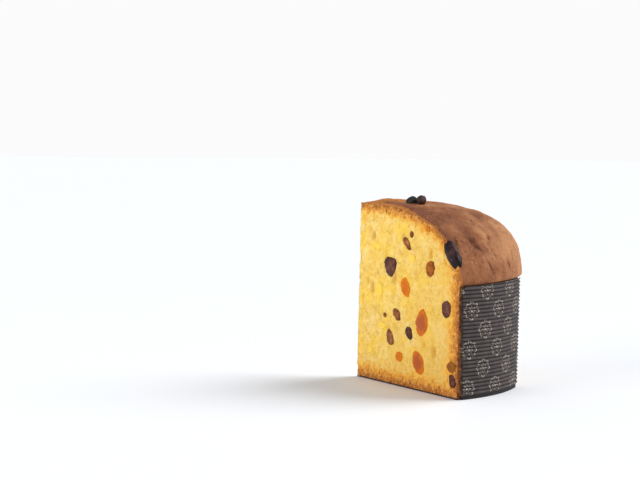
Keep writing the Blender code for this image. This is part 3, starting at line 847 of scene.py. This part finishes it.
def ink_oval(centre, half_length, half_width, line=None):
    """Ink of one oval in the rosette's petal, filled or as an outline of some width."""
    long_way = sum_of(tree, "DIVIDE", sum_of(tree, "SUBTRACT", out_way, centre), half_length)
    size = length_of(tree, long_way, sum_of(tree, "DIVIDE", side_way, half_width))
    if line is None:
        return smooth_step(tree, size, 1.15, 0.85)
    off_line = sum_of(tree, "ABSOLUTE", sum_of(tree, "SUBTRACT", size, 1.0))
    return smooth_step(tree, off_line, line, 0.4 * line)


# A dot in the middle, a thin oval and a scallop for each petal, and a dot above and below
ink = smooth_step(tree, radius, 0.95, 0.6)
scallop = sum_of(
    tree, "MULTIPLY", ink_oval(4.0, 1.35, 1.15, 0.34), smooth_step(tree, out_way, 3.8, 4.4)
)
for part in (ink_oval(2.2, 0.75, 0.24), scallop):
    ink = sum_of(tree, "MAXIMUM", ink, part)
tip = sum_of(tree, "SUBTRACT", sum_of(tree, "ABSOLUTE", off_rise), 7.0)
tip = length_of(tree, tip, off_along)
ink = sum_of(tree, "MAXIMUM", ink, smooth_step(tree, tip, 0.75, 0.45))
# The ink is worn, and painted shade fades it out in the valleys between the flutes
place = add_node(tree, "ShaderNodeTexCoord").outputs["Object"]
wear = smooth_step(tree, noise_of(tree, place, 700.0, 3.0, 0.7), 0.36, 0.58)
ink = sum_of(tree, "MULTIPLY", ink, sum_of(tree, "MULTIPLY_ADD", wear, 0.6, 0.4))
ink = sum_of(tree, "MULTIPLY", ink, smooth_step(tree, sheet_place["Z"], 0.1, 0.6))
fibre = noise_of(tree, place, 160.0, 5.0, 0.65)
paper_colour = colours(tree, fibre, (
    (0.30, (0.054, 0.041, 0.039)), (0.52, (0.083, 0.064, 0.061)), (0.74, (0.122, 0.098, 0.093)),
))
# Painted shade darkens the valleys between the flutes
valley = smooth_step(tree, sheet_place["Z"], 0.9, 0.35)
paper_colour = laid_over(tree, paper_colour, valley, 0.85, (0.014, 0.010, 0.011))
paper_colour = laid_over(tree, paper_colour, ink, 0.95, (0.50, 0.44, 0.36))
tree.links.new(paper_colour, shader.inputs["Base Color"])
bump(tree, shader, noise_of(tree, place, 1500.0, 3.0, 0.6), 0.00015)

dressed = add_node(
    wall_tree, "GeometryNodeSetMaterial", {"Geometry": real.outputs[0], "Material": paper}
)
wall_tree.links.new(dressed.outputs[0], wall_tree.nodes.new("NodeGroupOutput").inputs[0])

# The flat liner is the same sheet without flutes, close inside their valleys
for name, changes in (
    ("case_flutes", {}),
    ("case_liner", {"Radius": WALL_INNER + PAPER_THICKNESS, "Flute depth": 0.0, "Sway": 0.0,
                    "Rows": 40.0, "Front tear top": 1.2 * MM, "Front tear foot": 3.3 * MM}),
):
    paper_sheet = bpy.data.objects.new(name, bpy.data.meshes.new(name))
    bpy.context.scene.collection.objects.link(paper_sheet)
    grow(paper_sheet, wall_tree, {**wall_inputs, **changes})
    thickness = paper_sheet.modifiers.new("paper thickness", "SOLIDIFY")
    thickness.thickness = PAPER_THICKNESS
    thickness.offset = -1.0
    settle(paper_sheet)
    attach(paper_sheet, "root")
    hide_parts("case_wall")


# Paper base of the case
# The flat floor of the baking case, a smooth sheet of the same dark paper that the wall's hem
# is glued to. It lies under the crumb and shows as a thin dark line.
base_paper, tree, shader = principled("base paper", Roughness=0.7, Specular_IOR_Level=0.35)
place = add_node(tree, "ShaderNodeTexCoord").outputs["Object"]
base_colour = colours(tree, noise_of(tree, place, 190.0, 5.0, 0.65), (
    (0.30, (0.030, 0.021, 0.020)), (0.55, (0.052, 0.038, 0.035)), (0.78, (0.085, 0.062, 0.052)),
))
tree.links.new(base_colour, shader.inputs["Base Color"])
bump(tree, shader, noise_of(tree, place, 1300.0, 3.0, 0.6), 0.00015)
base_mesh = bpy.data.objects["case_base"].data
base_mesh.materials.clear()
base_mesh.materials.append(base_paper)


# Fruit
# Sultanas and candied orange and citron, mixed into the dough and cut through with it, so that
# they lie flush in both cuts. Three whole raisins are baked into the crust.
# In millimetres: how deep a raisin's folds are, how much each fruit swells in and out at its
# outline, and how uneven candied fruit is. FOLD_EDGE is the noise value where a fold begins.
FOLD_DEPTH, FOLD_EDGE = 0.34, 0.28
RAISIN_SWELL, CANDIED_SWELL, CANDIED_UNEVEN = 0.7, 1.1, 0.15
WELD_DISTANCE = 0.02 * MM
RAISIN_TONES = {
    "raisin_front_1": "dark", "raisin_front_5": "dark", "raisin_front_8": "dark",
    "raisin_rim": "black", "raisin_top_left": "green", "raisin_top_right": "painted_sheen",
    "raisin_front_2": "amber", "raisin_front_10": "dark",
}
TONES = {
    "dark": ((0.050, 0.015, 0.010), (0.120, 0.038, 0.024), (0.200, 0.085, 0.055)),
    "black": ((0.008, 0.004, 0.006), (0.022, 0.009, 0.011), (0.070, 0.029, 0.026)),
    "green": ((0.010, 0.012, 0.010), (0.028, 0.030, 0.026), (0.070, 0.060, 0.048)),
    # Purple-brown, painted lighter and greyer as a painted sheen
    "painted_sheen": ((0.030, 0.016, 0.014), (0.075, 0.038, 0.032), (0.150, 0.092, 0.075)),
    "amber": ((0.200, 0.045, 0.003), (0.370, 0.096, 0.006), (0.520, 0.165, 0.014)),
    "brown": ((0.150, 0.042, 0.010), (0.300, 0.098, 0.026), (0.500, 0.210, 0.070)),
}
raisin_looks = {}
for tone, (dark, middle, light) in TONES.items():
    raisin_looks[tone], tree, shader = principled(
        "raisin " + tone, Roughness=0.42, Specular_IOR_Level=0.13,
    )
    place = add_node(tree, "ShaderNodeTexCoord").outputs["Object"]
    skin = sum_of(tree, "SUBTRACT", noise_of(tree, place, 340.0, 4.0, 0.6), 0.10)
    # Each raisin is painted lighter in its middle and darker towards its outline: partly its darker
    # skin, partly painted shade and highlight
    skin = sum_of(tree, "MULTIPLY_ADD", attribute(tree, "heart"), 0.42, skin)
    tree.links.new(
        colours(tree, skin, ((0.32, dark), (0.52, middle), (0.74, light))),
        shader.inputs["Base Color"],
    )
    bump(tree, shader, noise_of(tree, place, 900.0, 3.0, 0.6), 0.0004)

CANDIED_TONES = {
    "peel_front_1": "bright peel", "peel_front_3": "bright peel", "peel_front_6": "bright peel",
    "peel_front_5": "caramel",
}
candied = {}
for kind, rind, flesh in (
    ("peel", (0.64, 0.165, 0.004), (0.43, 0.092, 0.021)),
    ("bright peel", (0.71, 0.190, 0.002), (0.58, 0.135, 0.004)),
    ("citron", (0.92, 0.63, 0.115), (0.95, 0.64, 0.035)),
    ("caramel", (0.300, 0.105, 0.010), (0.200, 0.060, 0.012)),
):
    candied[kind], tree, shader = principled(
        "candied " + kind, Roughness=0.40, Subsurface_Weight=0.08, Subsurface_Scale=0.002,
        Specular_IOR_Level=0.12,
    )
    shader.inputs["Subsurface Radius"].default_value = (1.0, 0.4, 0.1)
    place = add_node(tree, "ShaderNodeTexCoord").outputs["Object"]
    heart = sum_of(
        tree, "MULTIPLY_ADD",
        sum_of(tree, "SUBTRACT", noise_of(tree, place, 260.0, 3.0), 0.5), 0.8,
        attribute(tree, "heart"),
    )
    tree.links.new(
        mixed(tree, smooth_step(tree, heart, -0.10, 0.46), rind, flesh),
        shader.inputs["Base Color"],
    )
    bump(tree, shader, noise_of(tree, place, 700.0, 3.0, 0.5), 0.0002)

out_of_cut = {
    "front": Vector((0.0, -1.0, 0.0)),
    "back": Vector((-math.sin(SLICE_ANGLE), math.cos(SLICE_ANGLE), 0.0)),
    "top": Vector((0.0, 0.0, 0.0)),
    "rim": Vector((0.0, -1.0, 0.0)),
}
for node in sorted(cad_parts):
    kind = node.split("_")[0]
    if kind not in ("raisin", "peel", "citron"):
        continue
    bm = bmesh.new()
    bm.from_mesh(bpy.data.objects[node].data)
    bmesh.ops.remove_doubles(bm, verts=bm.verts, dist=WELD_DISTANCE)
    fruit_mesh = bpy.data.meshes.new(node + "_dressed")
    bm.to_mesh(fruit_mesh)
    bm.free()
    fruit = bpy.data.objects.new(node + "_dressed", fruit_mesh)
    bpy.context.scene.collection.objects.link(fruit)
    rounded = fruit.modifiers.new("round", "SUBSURF")
    rounded.levels = rounded.render_levels = 2
    settle(fruit)
    fruit.data.shade_smooth()
    low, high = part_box(node)
    middle, half = 0.5 * (low + high), 0.5 * (high - low)
    # Rounding draws a solid in, so each whole raisin is brought out to its size again
    if node in WHOLE_RAISINS:
        corners = np.array([vert.co for vert in fruit.data.vertices])
        shrunk = 0.5 * (corners.max(0) - corners.min(0))
        for vert in fruit.data.vertices:
            offset = vert.co - middle
            vert.co = middle + Vector(offset[k] * half[k] / shrunk[k] for k in range(3))
    across = math.hypot(half.x, half.y)
    hearts = []
    normals = [vert.normal.copy() for vert in fruit.data.vertices]
    for vert, normal in zip(fruit.data.vertices, normals):
        offset = vert.co - middle
        spread = math.hypot(math.hypot(offset.x, offset.y) / across, offset.z / half.z)
        hearts.append((1.0 - spread) * min(half.z / (7.5 * MM), 1.0))
        # The cut side stays flat, and only the outline is drawn in and out
        flatness = 1.0 - abs(normal.dot(out_of_cut[node.split("_")[1]]))
        if kind == "raisin":
            fold = abs(noise.noise(vert.co / (2.2 * MM)))
            fold += 0.5 * abs(noise.noise(vert.co / (1.1 * MM)))
            vert.co -= normal * FOLD_DEPTH * MM * max(FOLD_EDGE - fold, 0.0) / FOLD_EDGE
            vert.co += normal * RAISIN_SWELL * MM * noise.noise(vert.co / (4.0 * MM)) * flatness
        else:
            vert.co += normal * CANDIED_UNEVEN * MM * noise.noise(vert.co / (2.6 * MM))
            vert.co += normal * CANDIED_SWELL * MM * noise.noise(vert.co / (4.6 * MM)) * flatness
    layer = fruit.data.attributes.new("heart", "FLOAT", "POINT")
    layer.data.foreach_set("value", hearts)
    fruit.data.materials.clear()
    if kind == "raisin":
        fruit.data.materials.append(raisin_looks[RAISIN_TONES.get(node, "brown")])
    else:
        fruit.data.materials.append(candied[CANDIED_TONES.get(node, kind)])
    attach(fruit, "root")
    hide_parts(node)


# Floor and light
# A plain pale floor under soft studio lights: a broad light high on the camera's right, behind
# the slice, a low one that fills the cut from the camera's left, and an even pale surround.
SURROUND = 0.47
SURROUND_SEEN = 0.97
SURROUND_TINT = (0.93, 0.975, 1.05)
LAMP_TINT = (1.0, 0.985, 0.955)
# Each light: degrees round and up, degrees that it spreads over, and strength
LIGHTS = (
    ("key light", 165.0, 44.0, 46.0, 2.68),
    ("fill light", 2.0, 6.0, 40.0, 1.93),
)
floor_look, tree, shader = principled("pale floor", Roughness=0.6, Specular_IOR_Level=0.2)
shader.inputs["Base Color"].default_value = (0.930, 0.943, 0.972, 1.0)
bm = bmesh.new()
bmesh.ops.create_grid(bm, x_segments=2, y_segments=2, size=6.0)
floor_mesh = bpy.data.meshes.new("floor")
bm.to_mesh(floor_mesh)
bm.free()
floor_mesh.materials.append(floor_look)
floor = bpy.data.objects.new("floor", floor_mesh)
bpy.context.scene.collection.objects.link(floor)

# The surround is white where it is seen, and lights the slice a little less than that
world = bpy.data.worlds.new("studio")
world.use_nodes = True
tree = world.node_tree
seen = add_node(tree, "ShaderNodeLightPath").outputs["Is Camera Ray"]
strength = sum_of(tree, "MULTIPLY_ADD", seen, SURROUND_SEEN - SURROUND, SURROUND)
tree.links.new(strength, tree.nodes["Background"].inputs["Strength"])
tint = mixed(tree, seen, SURROUND_TINT, (1.0, 1.0, 1.0))
tree.links.new(tint, tree.nodes["Background"].inputs["Color"])
bpy.context.scene.world = world
bpy.context.scene.view_settings.view_transform = "Standard"

for name, azimuth, lift, spread, power in LIGHTS:
    lamp = bpy.data.lights.new(name, "SUN")
    lamp.angle = math.radians(spread)
    lamp.energy = power
    lamp.color = LAMP_TINT
    light = bpy.data.objects.new(name, lamp)
    bpy.context.scene.collection.objects.link(light)
    side, high = math.radians(azimuth), math.radians(lift)
    level = math.cos(high)
    way = Vector((math.sin(side) * level, -math.cos(side) * level, math.sin(high)))
    light.location = way
    light.rotation_mode = "QUATERNION"
    light.rotation_quaternion = way.to_track_quat("Z", "Y")
